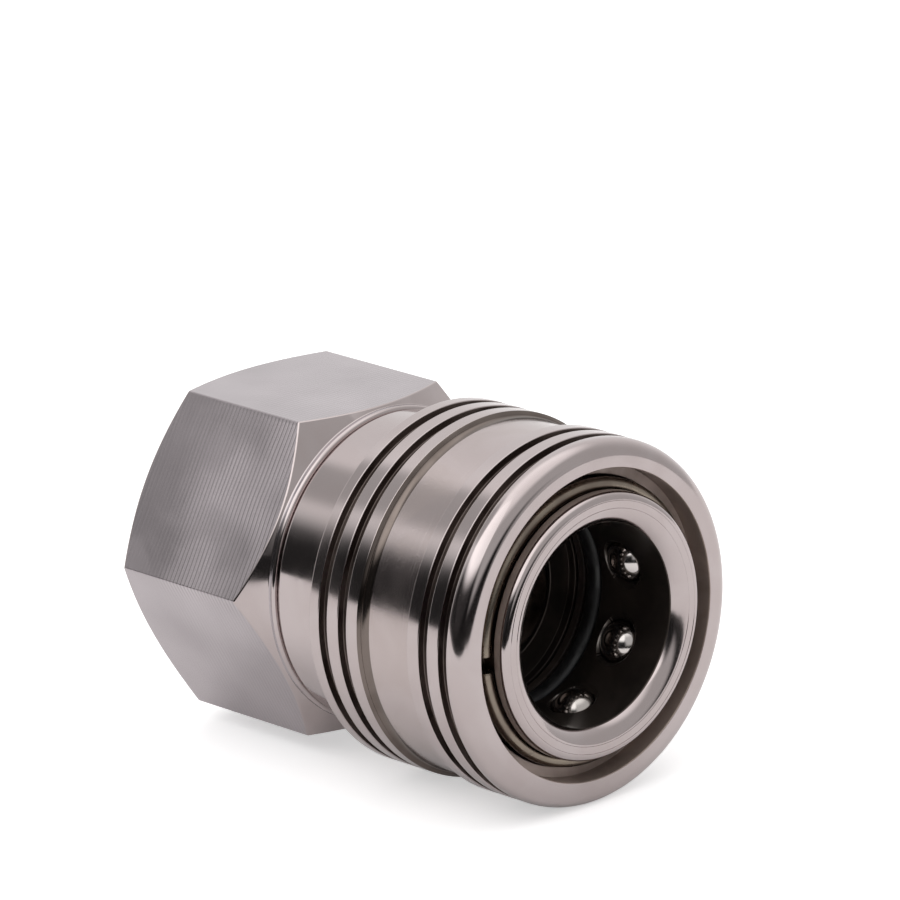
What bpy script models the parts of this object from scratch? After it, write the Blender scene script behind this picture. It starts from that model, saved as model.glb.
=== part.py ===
"""Quick coupling socket, lying on its side: a turned body that holds eight locking balls, a spring
loaded release sleeve over them, a poppet valve inside and a hexagonal adapter at the back.

Metres, +Z up. The axis of the coupling is X, with +X towards the mouth. Depths along the axis are
measured backwards from the front edge of the body's nose, and radii from the axis. The origin is
on the axis, halfway along the coupling.
"""
import math

import bmesh
import bpy
from mathutils import Matrix, Vector

MM = 0.001

# Clearances
seat_gap = 0.25 * MM
slide_gap = 0.30 * MM
overrun = 1.0 * MM

# Locking balls
ball_count = 8
ball_phase = math.radians(30.0)
ball_diameter = 4.76 * MM
ball_protrusion = 1.2 * MM
ball_lip_height = 0.8 * MM

# Bore, nose and ball cage of the body
bore_radius = 10.5 * MM
nose_step = 0.3 * MM
nose_rim = 1.71 * MM
nose_round = 0.75 * MM
mouth_depth = 1.15 * MM
cage_lip = 1.15 * MM
cage_edge = 0.2 * MM

# Retaining ring
ring_wire = 1.5 * MM
ring_depth = 2.6 * MM
ring_bite = 0.35 * MM
ring_opening = 1.6 * MM
ring_opening_angle = math.radians(-93.6)

# Sleeve
sleeve_setback = 0.9 * MM
sleeve_travel = 5.5 * MM
land_gap = 0.36 * MM
land_lead = 1.2 * MM
land_tail = 0.95 * MM
ramp_rise = 0.5 * MM
shoulder_width = 1.12 * MM
front_wall = 2.84 * MM
front_round = 1.3 * MM
front_land = 2.18 * MM
groove_width = 1.18 * MM
groove_depth = 0.8 * MM
land_width = 1.6 * MM
waist_length = 5.4 * MM
waist_drop = 0.8 * MM
taper_length = 1.75 * MM
rim_width = 1.37 * MM
sleeve_edge = 0.12 * MM
skirt_chamfer = 0.4 * MM

# Neck and tail of the body
neck_step = 2.15 * MM
neck_rest = 2.18 * MM
neck_edge = 0.3 * MM
tail_step = 2.6 * MM
tail_wall = 2.3 * MM
tail_length = 5.62 * MM

# Sleeve spring
spring_room = 11.0 * MM
sleeve_spring_wire = 1.2 * MM
sleeve_spring_turns = 4.0

# Plug seal and its back-up ring
plug_seal_lead = 0.8 * MM
plug_seal_section = 2.1 * MM
plug_seal_proud = 0.2 * MM
backup_width = 0.9 * MM
backup_drop = 0.15 * MM

# Throat and valve chamber
plug_stop = 0.9 * MM
throat_length = 1.4 * MM
poppet_flow_gap = 1.7 * MM
seat_cover = 1.8 * MM

# Poppet
poppet_travel = 5.0 * MM
poppet_seal_section = 1.8 * MM
poppet_seal_bite = 0.35 * MM
poppet_reach = 1.4 * MM
poppet_tip_taper = 1.3 * MM
poppet_head_length = 2.2 * MM
poppet_edge = 0.3 * MM
stem_radius = 2.5 * MM
stem_entry = 2.6 * MM

# Poppet spring
poppet_spring_wire = 1.0 * MM
poppet_spring_turns = 5.0
poppet_spring_gap = 0.9 * MM

# Poppet guide
guide_thickness = 2.4 * MM
guide_rim = 1.5 * MM
guide_boss_wall = 1.3 * MM
guide_boss_clear = 2.6 * MM
guide_spokes = 3
guide_spoke_width = 2.2 * MM

# Hexagonal adapter
hex_rise = 0.53 * MM
hex_rim = 0.2 * MM
hex_rim_edge = 0.1 * MM
cone_angle = math.radians(53.0)
rear_chamfer_angle = math.radians(30.0)
rear_face_drop = 0.69 * MM
seal_recess_wall = 1.265 * MM
body_seal_section = 1.1 * MM
web_thickness = 1.5 * MM
web_ledge = 3.0 * MM
port_wall = 4.67 * MM
port_depth = 14.0 * MM
port_chamfer = 1.1 * MM

# Facets
turned_segments = 48
small_segments = 28
seal_sides = 6
hole_segments = 16
ball_segments = 12
ball_rings = 8
wire_points_per_turn = 14
ring_steps = 44
window_steps = 5
arc_steps = 3
merge_distance = seat_gap / 1000

# Radii that follow
ball_radius = ball_diameter / 2
ball_centre_radius = bore_radius - ball_protrusion + ball_radius
cage_radius = ball_centre_radius + ball_radius
nose_radius = cage_radius - nose_step
mouth_radius = nose_radius - nose_rim
ring_groove_radius = nose_radius - ring_bite - seat_gap
ring_centre_radius = ring_groove_radius + seat_gap + ring_wire / 2
land_radius = cage_radius + land_gap
ramp_radius = land_radius + ramp_rise
counterbore_radius = ramp_radius + shoulder_width
sleeve_radius = counterbore_radius + front_wall
groove_radius = sleeve_radius - groove_depth
waist_radius = sleeve_radius - waist_drop
neck_radius = cage_radius + neck_step
skirt_radius = neck_radius + slide_gap
tail_radius = neck_radius - tail_step
chamber_radius = tail_radius - tail_wall
plug_seal_radius = bore_radius - plug_seal_proud + plug_seal_section / 2
plug_groove_radius = plug_seal_radius + plug_seal_section / 2 + seat_gap
poppet_head_radius = chamber_radius - poppet_flow_gap
throat_radius = poppet_head_radius - seat_cover
poppet_nose_radius = throat_radius - seat_gap - poppet_seal_bite
poppet_seal_radius = poppet_nose_radius + seat_gap + poppet_seal_section / 2
hex_flat_radius = neck_radius + hex_rise
hex_corner_radius = hex_flat_radius / math.cos(math.pi / 6)
rear_face_radius = hex_flat_radius - rear_face_drop
cone_front_radius = hex_flat_radius - hex_rise / 2
seal_recess_radius = cone_front_radius - seal_recess_wall
tail_bore_radius = tail_radius + seat_gap
body_seal_radius = tail_radius + seat_gap + body_seal_section / 2
port_radius = hex_flat_radius - port_wall
web_hole_radius = chamber_radius - web_ledge

# Depths that follow
ring_groove_front = ring_depth - ring_wire / 2 - seat_gap
ring_groove_rear = ring_depth + ring_wire / 2 + seat_gap
ball_hole_radius = ball_radius + seat_gap
ball_depth = ring_groove_rear + cage_lip + ball_hole_radius
land_front = ball_depth - land_lead
land_rear = ball_depth + ball_radius + land_tail
sleeve_shoulder = ring_depth + ring_wire / 2
spring_seat = land_rear + spring_room
plug_groove_front = ball_depth + ball_hole_radius + plug_seal_lead
plug_groove_length = plug_seal_section + backup_width + 3 * seat_gap
plug_groove_rear = plug_groove_front + plug_groove_length
throat_front = plug_groove_rear + plug_stop
throat_rear = throat_front + throat_length
chamber_front = throat_rear + chamber_radius - throat_radius
poppet_seal_depth = (throat_rear + poppet_seal_radius - throat_radius
                     + (poppet_seal_section / 2 + seat_gap) * math.sqrt(2.0))
poppet_head_front = poppet_seal_depth + poppet_seal_section / 2 + seat_gap
poppet_head_rear = poppet_head_front + poppet_head_length
sleeve_groove_1 = sleeve_setback + front_land
sleeve_groove_2 = sleeve_groove_1 + groove_width + land_width
waist_front = sleeve_groove_2 + groove_width + land_width
waist_rear = waist_front + waist_length
sleeve_groove_3 = waist_rear + taper_length + land_width
sleeve_groove_4 = sleeve_groove_3 + groove_width + land_width
sleeve_rear = sleeve_groove_4 + groove_width + rim_width
neck_rear = sleeve_rear + sleeve_travel + neck_rest
tail_rear = neck_rear + tail_length
hex_front = neck_rear + seat_gap
seal_recess_rear = hex_front + body_seal_section + seat_gap
web_front = tail_rear + seat_gap
port_floor = web_front + web_thickness
hex_rear = port_floor + port_depth
guide_rear = tail_rear
guide_front = guide_rear - guide_thickness
boss_front = poppet_head_rear + poppet_travel + guide_boss_clear
stem_end = boss_front + stem_entry
mouth_x = hex_rear / 2


def clear_scene():
    for item in list(bpy.data.objects):
        bpy.data.objects.remove(item, do_unlink=True)


def make_material(name, colour, roughness, metallic):
    material = bpy.data.materials.new(name)
    material.use_nodes = True
    shader = material.node_tree.nodes["Principled BSDF"]
    shader.inputs["Base Color"].default_value = (*colour, 1.0)
    shader.inputs["Roughness"].default_value = roughness
    shader.inputs["Metallic"].default_value = metallic
    material.diffuse_color = (*colour, 1.0)
    return material


def steel(name, roughness=0.25):
    return make_material(name, (0.60, 0.57, 0.55), roughness, 1.0)


def rubber(name, colour=(0.02, 0.02, 0.02)):
    return make_material(name, colour, 0.6, 0.0)


def add_object(name, data, material, location=(0.0, 0.0, 0.0), rotation=(0.0, 0.0, 0.0)):
    """Link one named object with its material, placed by its location and rotation."""
    item = bpy.data.objects.new(name, data)
    data.materials.append(material)
    item.location = location
    item.rotation_euler = rotation
    bpy.context.scene.collection.objects.link(item)
    return item


def smooth(mesh, sharp_angle=math.radians(35.0)):
    mesh.shade_smooth()
    mesh.set_sharp_from_angle(angle=sharp_angle)


def arc(centre, radius, start, end, steps=arc_steps):
    """Outline points on an arc, in depth and radius, both ends included."""
    points = []
    for step in range(steps + 1):
        angle = start + (end - start) * step / steps
        points.append((centre[0] + radius * math.cos(angle), centre[1] + radius * math.sin(angle)))
    return points


def quarter(start, end, steps=arc_steps):
    """A quarter of an ellipse from start, where it leaves along the axis, to end."""
    points = []
    for step in range(steps + 1):
        angle = math.pi / 2 * step / steps
        depth = start[0] + (end[0] - start[0]) * math.sin(angle)
        radius = start[1] + (end[1] - start[1]) * (1.0 - math.cos(angle))
        points.append((depth, radius))
    return points


def turned_mesh(name, outline, segments, datum=0.0):
    """Turn an outline of depths and radii about the axis. A closed outline gives a ring, and an
    outline that starts and ends on the axis gives a solid. Local x is zero at the datum depth."""
    shape = bmesh.new()
    points = [shape.verts.new((datum - depth, 0.0, radius)) for depth, radius in outline]
    on_axis = outline[0][1] == 0.0 and outline[-1][1] == 0.0
    edges = [shape.edges.new(pair) for pair in zip(points, points[1:])]
    if not on_axis:
        edges.append(shape.edges.new((points[-1], points[0])))
    bmesh.ops.spin(shape, geom=points + edges, cent=(0.0, 0.0, 0.0), axis=(1.0, 0.0, 0.0),
                   angle=2 * math.pi, steps=segments, use_merge=True, use_duplicate=False)
    bmesh.ops.remove_doubles(shape, verts=shape.verts, dist=merge_distance)
    bmesh.ops.recalc_face_normals(shape, faces=shape.faces)
    mesh = bpy.data.meshes.new(name)
    shape.to_mesh(mesh)
    shape.free()
    return mesh


def turned(name, outline, material, segments=turned_segments, datum=0.0):
    """A turned piece on the coupling's axis, with its origin at the datum depth."""
    mesh = turned_mesh(name, outline, segments, datum)
    smooth(mesh)
    return add_object(name, mesh, material, location=(mouth_x - datum, 0.0, 0.0))


def cutter(name, mesh):
    item = bpy.data.objects.new(name, mesh)
    item.hide_render = True
    item.display_type = "WIRE"
    bpy.context.scene.collection.objects.link(item)
    return item


def boolean(target, tool, operation="DIFFERENCE"):
    modifier = target.modifiers.new(operation.lower(), "BOOLEAN")
    modifier.operation = operation
    modifier.solver = "EXACT"
    modifier.object = tool


def wire(name, points, diameter, material, location=(0.0, 0.0, 0.0)):
    """A round wire along a list of points, with flat closed ends."""
    curve = bpy.data.curves.new(name, "CURVE")
    curve.dimensions = "3D"
    curve.bevel_depth = diameter / 2
    curve.bevel_resolution = 1
    curve.use_fill_caps = True
    spline = curve.splines.new("POLY")
    spline.points.add(len(points) - 1)
    for point, place in zip(spline.points, points):
        point.co = (*place, 1.0)
    spline.use_smooth = True
    return add_object(name, curve, material, location=location)


def coil_points(front, rear, radius, wire_diameter, turns):
    """A compression spring's centre line, with one closed turn at each end."""
    closed_pitch = wire_diameter + seat_gap
    free_turns = turns - 2.0
    free_length = rear - front - wire_diameter - 2 * closed_pitch
    count = round(turns * wire_points_per_turn)
    points = []
    for index in range(count + 1):
        turn = turns * index / count
        if turn < 1.0:
            travel = closed_pitch * turn
        elif turn > turns - 1.0:
            travel = closed_pitch * (turn - free_turns) + free_length
        else:
            travel = closed_pitch + free_length * (turn - 1.0) / free_turns
        angle = 2 * math.pi * turn
        depth = front + wire_diameter / 2 + travel
        points.append((mouth_x - depth, radius * math.sin(angle), radius * math.cos(angle)))
    return points


def seal_ring(name, depth, radius, section, material):
    """A seal ring of round section."""
    outline = arc((depth, radius), section / 2, 0.0, 2 * math.pi, seal_sides)[:-1]
    return turned(name, outline, material, segments=small_segments, datum=depth)


def make_body():
    """The socket body: nose, groove for the retaining ring, ball cage, neck and threaded tail
    outside; plug bore, seal groove, throat and valve chamber inside."""
    round_centre = (nose_round, nose_radius - nose_round)
    outside = arc(round_centre, nose_round, math.pi, math.pi / 2)
    outside += [
        (ring_groove_front, nose_radius),
        (ring_groove_front, ring_groove_radius),
        (ring_groove_rear, ring_groove_radius),
        (ring_groove_rear, cage_radius - cage_edge),
        (ring_groove_rear + cage_edge, cage_radius),
        (spring_seat, cage_radius),
        (spring_seat, neck_radius - neck_edge),
        (spring_seat + neck_edge, neck_radius),
        (neck_rear - neck_edge, neck_radius),
        (neck_rear, neck_radius - neck_edge),
        (neck_rear, tail_radius),
        (tail_rear - neck_edge, tail_radius),
        (tail_rear, tail_radius - neck_edge),
    ]
    inside = [
        (tail_rear, chamber_radius),
        (chamber_front, chamber_radius),
        (throat_rear, throat_radius),
        (throat_front, throat_radius),
        (throat_front, bore_radius),
        (plug_groove_rear, bore_radius),
        (plug_groove_rear, plug_groove_radius),
        (plug_groove_front, plug_groove_radius),
        (plug_groove_front, bore_radius),
    ]
    lead_in = quarter((mouth_depth, bore_radius), (0.0, mouth_radius))
    body = turned("socket_body", outside + inside + lead_in, steel("body_steel", 0.12))
    boolean(body, cutter("ball_holes", ball_hole_mesh()))
    return body


def ball_hole_mesh():
    """Eight radial cutters for the ball holes, each with a lip that keeps its ball out of the bore."""
    lip_radius = math.sqrt(ball_radius ** 2 - (ball_radius - ball_protrusion) ** 2) + seat_gap
    outline = [
        (0.0, bore_radius - overrun),
        (lip_radius, bore_radius - overrun),
        (lip_radius, bore_radius),
        (ball_hole_radius, bore_radius + ball_lip_height),
        (ball_hole_radius, cage_radius + overrun),
        (0.0, cage_radius + overrun),
    ]
    shape = bmesh.new()
    for index in range(ball_count):
        points = [shape.verts.new((radius, 0.0, height)) for radius, height in outline]
        edges = [shape.edges.new(pair) for pair in zip(points, points[1:])]
        bmesh.ops.spin(shape, geom=points + edges, cent=(0.0, 0.0, 0.0), axis=(0.0, 0.0, 1.0),
                       angle=2 * math.pi, steps=hole_segments, use_merge=True, use_duplicate=False)
        new_verts = [vert for vert in shape.verts if not vert.tag]
        turn = Matrix.Rotation(-ball_angle(index), 4, "X")
        shift = Matrix.Translation((mouth_x - ball_depth, 0.0, 0.0))
        bmesh.ops.transform(shape, matrix=shift @ turn, verts=new_verts)
        for vert in new_verts:
            vert.tag = True
    bmesh.ops.remove_doubles(shape, verts=shape.verts, dist=merge_distance)
    bmesh.ops.recalc_face_normals(shape, faces=shape.faces)
    mesh = bpy.data.meshes.new("ball_holes")
    shape.to_mesh(mesh)
    shape.free()
    return mesh


def ball_angle(index):
    """Angle of a ball about the axis, from +Z towards +Y."""
    return ball_phase + 2 * math.pi * index / ball_count


def make_balls():
    """The locking balls, each with its origin at its centre, on the line that it slides along."""
    for index in range(ball_count):
        name = f"ball_{index + 1}"
        shape = bmesh.new()
        bmesh.ops.create_uvsphere(shape, u_segments=ball_segments, v_segments=ball_rings,
                                  radius=ball_radius)
        mesh = bpy.data.meshes.new(name)
        shape.to_mesh(mesh)
        shape.free()
        mesh.shade_smooth()
        angle = ball_angle(index)
        location = Vector((mouth_x - ball_depth, ball_centre_radius * math.sin(angle),
                           ball_centre_radius * math.cos(angle)))
        add_object(name, mesh, steel(name + "_steel", 0.08), location, (-angle, 0.0, 0.0))


def make_ring():
    """The C-shaped retaining ring of round wire that stops the sleeve in front."""
    half_opening = (ring_opening + ring_wire) / 2 / ring_centre_radius
    start = ring_opening_angle + half_opening
    sweep = 2 * math.pi - 2 * half_opening
    points = []
    for step in range(ring_steps + 1):
        angle = start + sweep * step / ring_steps
        points.append((0.0, ring_centre_radius * math.sin(angle),
                       ring_centre_radius * math.cos(angle)))
    wire("retaining_ring", points, ring_wire, steel("ring_steel", 0.3),
         location=(mouth_x - ring_depth, 0.0, 0.0))


def groove(front):
    """A square groove in the sleeve's outside."""
    return [
        (front, sleeve_radius),
        (front, groove_radius),
        (front + groove_width, groove_radius),
        (front + groove_width, sleeve_radius),
    ]


def make_sleeve():
    """The release sleeve: rounded front edge, two pairs of grip grooves and a waist outside; stop
    shoulder, release ramp, locking land and spring room inside."""
    round_centre = (sleeve_setback + front_round, sleeve_radius - front_round)
    outside = [(sleeve_setback, counterbore_radius + sleeve_edge)]
    outside += arc(round_centre, front_round, math.pi, math.pi / 2, 2 * arc_steps)
    outside += groove(sleeve_groove_1)
    outside += groove(sleeve_groove_2)
    outside += [
        (waist_front, sleeve_radius),
        (waist_rear, waist_radius),
        (waist_rear + taper_length, sleeve_radius),
    ]
    outside += groove(sleeve_groove_3)
    outside += groove(sleeve_groove_4)
    outside += [
        (sleeve_rear - sleeve_edge, sleeve_radius),
        (sleeve_rear, sleeve_radius - sleeve_edge),
    ]
    inside = [
        (sleeve_rear, skirt_radius + skirt_chamfer),
        (sleeve_rear - skirt_chamfer, skirt_radius),
        (land_rear, skirt_radius),
        (land_rear, land_radius),
        (land_front, land_radius),
        (sleeve_shoulder, ramp_radius),
        (sleeve_shoulder, counterbore_radius),
        (sleeve_setback + sleeve_edge, counterbore_radius),
    ]
    turned("sleeve", outside + inside, steel("sleeve_steel", 0.2), datum=sleeve_setback)


def make_sleeve_spring():
    """The coil spring that pushes the sleeve forward, seated on the front of the neck."""
    radius = (cage_radius + skirt_radius) / 2
    points = coil_points(land_rear + seat_gap, spring_seat - seat_gap, radius,
                         sleeve_spring_wire, sleeve_spring_turns)
    wire("sleeve_spring", points, sleeve_spring_wire, steel("sleeve_spring_steel", 0.3))


def make_plug_seals():
    """The seal ring that closes on the plug, and the back-up ring behind it."""
    seal_depth = plug_groove_front + seat_gap + plug_seal_section / 2
    seal_ring("plug_seal", seal_depth, plug_seal_radius, plug_seal_section, rubber("plug_seal_rubber"))
    front = plug_groove_rear - seat_gap - backup_width
    rear = plug_groove_rear - seat_gap
    inner = bore_radius + backup_drop
    outer = plug_groove_radius - seat_gap
    outline = [(front, outer), (rear, outer), (rear, inner), (front, inner)]
    material = make_material("backup_plastic", (0.75, 0.73, 0.68), 0.5, 0.0)
    turned("backup_ring", outline, material, segments=small_segments, datum=front)


def make_poppet():
    """The valve poppet: a nose that reaches through the throat, a sealing head and a stem."""
    tip = throat_front - poppet_reach
    outline = [
        (tip, 0.0),
        (tip, poppet_nose_radius - poppet_tip_taper),
        (tip + poppet_tip_taper, poppet_nose_radius),
        (poppet_head_front, poppet_nose_radius),
        (poppet_head_front, poppet_head_radius - poppet_edge),
        (poppet_head_front + poppet_edge, poppet_head_radius),
        (poppet_head_rear, poppet_head_radius),
        (poppet_head_rear, stem_radius),
        (stem_end - poppet_edge, stem_radius),
        (stem_end, stem_radius - poppet_edge),
        (stem_end, 0.0),
    ]
    turned("poppet", outline, steel("poppet_steel", 0.2), segments=small_segments, datum=tip)
    seal_ring("poppet_seal", poppet_seal_depth, poppet_seal_radius, poppet_seal_section,
              rubber("poppet_seal_rubber"))


def make_poppet_spring():
    """The coil spring between the poppet's head and the guide."""
    boss_radius = stem_radius + slide_gap + guide_boss_wall
    radius = boss_radius + poppet_spring_gap + poppet_spring_wire / 2
    points = coil_points(poppet_head_rear + seat_gap, guide_front - seat_gap, radius,
                         poppet_spring_wire, poppet_spring_turns)
    wire("poppet_spring", points, poppet_spring_wire, steel("poppet_spring_steel", 0.3))


def make_poppet_guide():
    """The guide that carries the poppet's stem: a rim in the chamber, a boss and three spokes."""
    rim_radius = chamber_radius - seat_gap
    hole_radius = stem_radius + slide_gap
    boss_radius = hole_radius + guide_boss_wall
    outline = [
        (boss_front, hole_radius),
        (boss_front, boss_radius),
        (guide_front, boss_radius),
        (guide_front, rim_radius),
        (guide_rear, rim_radius),
        (guide_rear, hole_radius),
    ]
    guide = turned("poppet_guide", outline, steel("guide_steel", 0.35), segments=small_segments,
                   datum=guide_front)
    boolean(guide, cutter("guide_windows", guide_window_mesh(boss_radius, rim_radius - guide_rim)))


def guide_window_mesh(inner, outer):
    """The flow windows between the guide's spokes, as sectors that run through its thickness."""
    shape = bmesh.new()
    front_x = mouth_x - guide_front + overrun
    length = guide_thickness + 2 * overrun
    for index in range(guide_spokes):
        middle = 2 * math.pi * index / guide_spokes
        half = math.pi / guide_spokes
        rim = []
        for radius, direction in ((outer, 1.0), (inner + seat_gap, -1.0)):
            reach = half - math.asin(guide_spoke_width / 2 / radius)
            for step in range(window_steps + 1):
                angle = middle + direction * reach * (2.0 * step / window_steps - 1.0)
                rim.append(shape.verts.new((front_x, radius * math.sin(angle),
                                            radius * math.cos(angle))))
        face = shape.faces.new(rim)
        made = bmesh.ops.extrude_face_region(shape, geom=[face])
        moved = [item for item in made["geom"] if isinstance(item, bmesh.types.BMVert)]
        bmesh.ops.translate(shape, verts=moved, vec=(-length, 0.0, 0.0))
    bmesh.ops.recalc_face_normals(shape, faces=shape.faces)
    mesh = bpy.data.meshes.new("guide_windows")
    shape.to_mesh(mesh)
    shape.free()
    return mesh


def make_adapter():
    """The hexagonal adapter: a turned blank with a front cone, a rear chamfer and its bores, cut
    to six flats. A flat faces up."""
    blank_radius = hex_corner_radius + overrun
    cone_depth = hex_front + hex_rim
    cone_rise = (blank_radius - cone_front_radius) / math.tan(cone_angle)
    chamfer_rise = (blank_radius - rear_face_radius) * math.tan(rear_chamfer_angle)
    outline = [
        (hex_front, cone_front_radius - hex_rim_edge),
        (hex_front + hex_rim_edge, cone_front_radius),
        (cone_depth, cone_front_radius),
        (cone_depth + cone_rise, blank_radius),
        (hex_rear - chamfer_rise, blank_radius),
        (hex_rear, rear_face_radius),
        (hex_rear, port_radius + port_chamfer),
        (hex_rear - port_chamfer, port_radius),
        (port_floor, port_radius),
        (port_floor, web_hole_radius),
        (web_front, web_hole_radius),
        (web_front, tail_bore_radius),
        (seal_recess_rear, tail_bore_radius),
        (seal_recess_rear, seal_recess_radius),
        (hex_front, seal_recess_radius),
    ]
    adapter = turned("hex_adapter", outline, steel("adapter_steel", 0.25), datum=hex_front)
    boolean(adapter, cutter("hexagon", hexagon_mesh()), "INTERSECT")


def hexagon_mesh():
    """A six-sided bar along the axis, longer than the adapter."""
    length = hex_rear - hex_front + 2 * overrun
    shape = bmesh.new()
    turn = Matrix.Rotation(math.pi / 2, 4, "Y")
    shift = Matrix.Translation((mouth_x - (hex_front + hex_rear) / 2, 0.0, 0.0))
    bmesh.ops.create_cone(shape, cap_ends=True, segments=6, radius1=hex_corner_radius,
                          radius2=hex_corner_radius, depth=length)
    bmesh.ops.transform(shape, matrix=shift @ turn, verts=shape.verts)
    bmesh.ops.recalc_face_normals(shape, faces=shape.faces)
    mesh = bpy.data.meshes.new("hexagon")
    shape.to_mesh(mesh)
    shape.free()
    return mesh


def make_body_seal():
    """The seal ring round the tail, in the adapter's front recess."""
    depth = hex_front + body_seal_section / 2
    seal_ring("body_seal", depth, body_seal_radius, body_seal_section, rubber("body_seal_rubber"))


clear_scene()
make_body()
make_balls()
make_ring()
make_sleeve()
make_sleeve_spring()
make_plug_seals()
make_poppet()
make_poppet_spring()
make_poppet_guide()
make_adapter()
make_body_seal()
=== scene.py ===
"""Quick coupling socket: its finished pieces, camera and studio light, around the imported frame.

Metres, +Z up. The coupling's axis is X, with +X towards the mouth. Depths along the axis are
measured backwards from the front edge of the body's nose, and radii from the axis.
"""
import math

import bmesh
import bpy
from mathutils import Matrix, Vector


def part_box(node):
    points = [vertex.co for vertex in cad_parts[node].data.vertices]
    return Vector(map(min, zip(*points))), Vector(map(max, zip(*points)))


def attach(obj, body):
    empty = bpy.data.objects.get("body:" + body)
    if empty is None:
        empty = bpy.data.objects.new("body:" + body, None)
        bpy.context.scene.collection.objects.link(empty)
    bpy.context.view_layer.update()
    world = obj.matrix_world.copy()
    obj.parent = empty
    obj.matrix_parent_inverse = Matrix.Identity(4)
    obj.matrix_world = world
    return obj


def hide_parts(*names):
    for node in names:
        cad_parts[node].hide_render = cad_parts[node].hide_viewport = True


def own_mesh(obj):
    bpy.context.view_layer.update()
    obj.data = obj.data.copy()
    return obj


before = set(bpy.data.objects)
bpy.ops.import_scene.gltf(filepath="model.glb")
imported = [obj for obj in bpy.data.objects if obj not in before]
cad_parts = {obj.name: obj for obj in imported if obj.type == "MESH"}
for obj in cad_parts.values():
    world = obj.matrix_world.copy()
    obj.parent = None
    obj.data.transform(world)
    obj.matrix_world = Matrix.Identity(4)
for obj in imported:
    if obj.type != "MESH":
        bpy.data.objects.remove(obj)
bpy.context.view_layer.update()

MM = 0.001


def low(node):
    """A node's lowest corner at rest."""
    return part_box(node)[0]


def high(node):
    """A node's highest corner at rest."""
    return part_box(node)[1]


def middle(node):
    """The middle of a node's box."""
    return (low(node) + high(node)) / 2


# Sizes that the frame gives
mouth_x = high("socket_body").x
neck_radius = high("socket_body").z
tail_rear = mouth_x - low("socket_body").x
sleeve_front = mouth_x - high("sleeve").x
sleeve_rear = mouth_x - low("sleeve").x
sleeve_radius = high("sleeve").z
hex_front = mouth_x - high("hex_adapter").x
hex_rear = mouth_x - low("hex_adapter").x
hex_flat_radius = high("hex_adapter").z
hex_corner_radius = hex_flat_radius / math.cos(math.pi / 6)
ring_wire = high("retaining_ring").x - low("retaining_ring").x
ring_depth = mouth_x - middle("retaining_ring").x
ring_centre_radius = high("retaining_ring").z - ring_wire / 2
ball_radius = (high("ball_1").x - low("ball_1").x) / 2
ball_depth = mouth_x - middle("ball_1").x
ball_centre_radius = Vector(middle("ball_1").yz).length
poppet_tip = mouth_x - high("poppet").x
stem_end = mouth_x - low("poppet").x
poppet_head_radius = high("poppet").z
guide_rear = mouth_x - low("poppet_guide").x
boss_front = mouth_x - high("poppet_guide").x

# Clearances and travel
seat_gap = 0.25 * MM
seam_gap = 0.03 * MM
slide_gap = 0.30 * MM
overrun = 1.0 * MM

# Body
bore_radius = 10.5 * MM
nose_radius = 13.76 * MM
nose_round = 0.75 * MM
mouth_depth = 1.15 * MM
lead_start = math.radians(14.1)
lead_end = math.radians(59.1)
ring_groove_radius = 13.16 * MM
cage_radius = 14.06 * MM
tail_radius = 13.61 * MM
chamber_radius = 11.31 * MM
throat_radius = 7.81 * MM
throat_length = 1.4 * MM
plug_stop = 0.9 * MM
plug_groove_lead = 0.8 * MM
plug_groove_width = 3.75 * MM
plug_groove_front = ball_depth + ball_radius + seat_gap + plug_groove_lead
plug_groove_rear = plug_groove_front + plug_groove_width
plug_groove_radius = 12.65 * MM
throat_front = plug_groove_rear + plug_stop
throat_rear = throat_front + throat_length
chamber_front = throat_rear + chamber_radius - throat_radius
neck_rear = hex_front - seat_gap

# Sleeve
counterbore_radius = 16.04 * MM
ramp_radius = 14.92 * MM
land_radius = 14.42 * MM
land_lead = 1.2 * MM
land_overlap = 0.95 * MM
spring_room = 11.0 * MM
land_front = ball_depth - land_lead
land_rear = ball_depth + ball_radius + land_overlap
spring_seat = land_rear + spring_room
front_round = 1.65 * MM
front_land = 2.18 * MM
groove_width = 1.18 * MM
groove_depth = 0.8 * MM
land_width = 1.6 * MM
waist_length = 5.4 * MM
waist_drop = 0.64 * MM
taper_length = 1.75 * MM
wall_run = 0.26 * MM
wall_drop = 0.33 * MM
fillet_run = 0.85 * MM
groove_1 = sleeve_front + front_land
groove_2 = groove_1 + groove_width + land_width
waist_front = groove_2 + groove_width + land_width
waist_rear = waist_front + waist_length
taper_rear = waist_rear + taper_length
groove_3 = taper_rear + land_width
groove_4 = groove_3 + groove_width + land_width
sleeve_grooves = (groove_1, groove_2, groove_3, groove_4)

# Hexagonal adapter
cone_front_radius = 16.475 * MM
cone_angle = math.radians(53.0)
rear_chamfer_angle = math.radians(30.0)
rear_face_radius = 16.05 * MM
seal_recess_radius = 15.21 * MM
seal_recess_length = 1.35 * MM
seal_recess_rear = hex_front + seal_recess_length
tail_bore_radius = tail_radius + seat_gap
web_front = tail_rear + seat_gap
web_thickness = 1.5 * MM
port_floor = web_front + web_thickness
port_radius = 12.07 * MM
port_chamfer = 1.1 * MM
web_hole_radius = 8.31 * MM
thread_pitch = 1.814 * MM
thread_height = 0.95 * MM
thread_relief = 2.6 * MM
thread_crest_share = 0.46
thread_root_share = 0.08

# Ring
ring_opening = 1.6 * MM
ring_opening_angle = math.radians(-93.6)

# Valve and springs
poppet_nose_radius = 7.21 * MM
poppet_nose_taper = 1.3 * MM
poppet_head_length = 2.2 * MM
stem_radius = 2.5 * MM
guide_thickness = 2.4 * MM
guide_rim_width = 1.5 * MM
boss_wall = 1.3 * MM
spoke_width = 2.2 * MM
sleeve_spring_wire = 1.2 * MM
sleeve_spring_turns = 4.0
valve_spring_wire = 1.0 * MM
valve_spring_turns = 5.0

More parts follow.
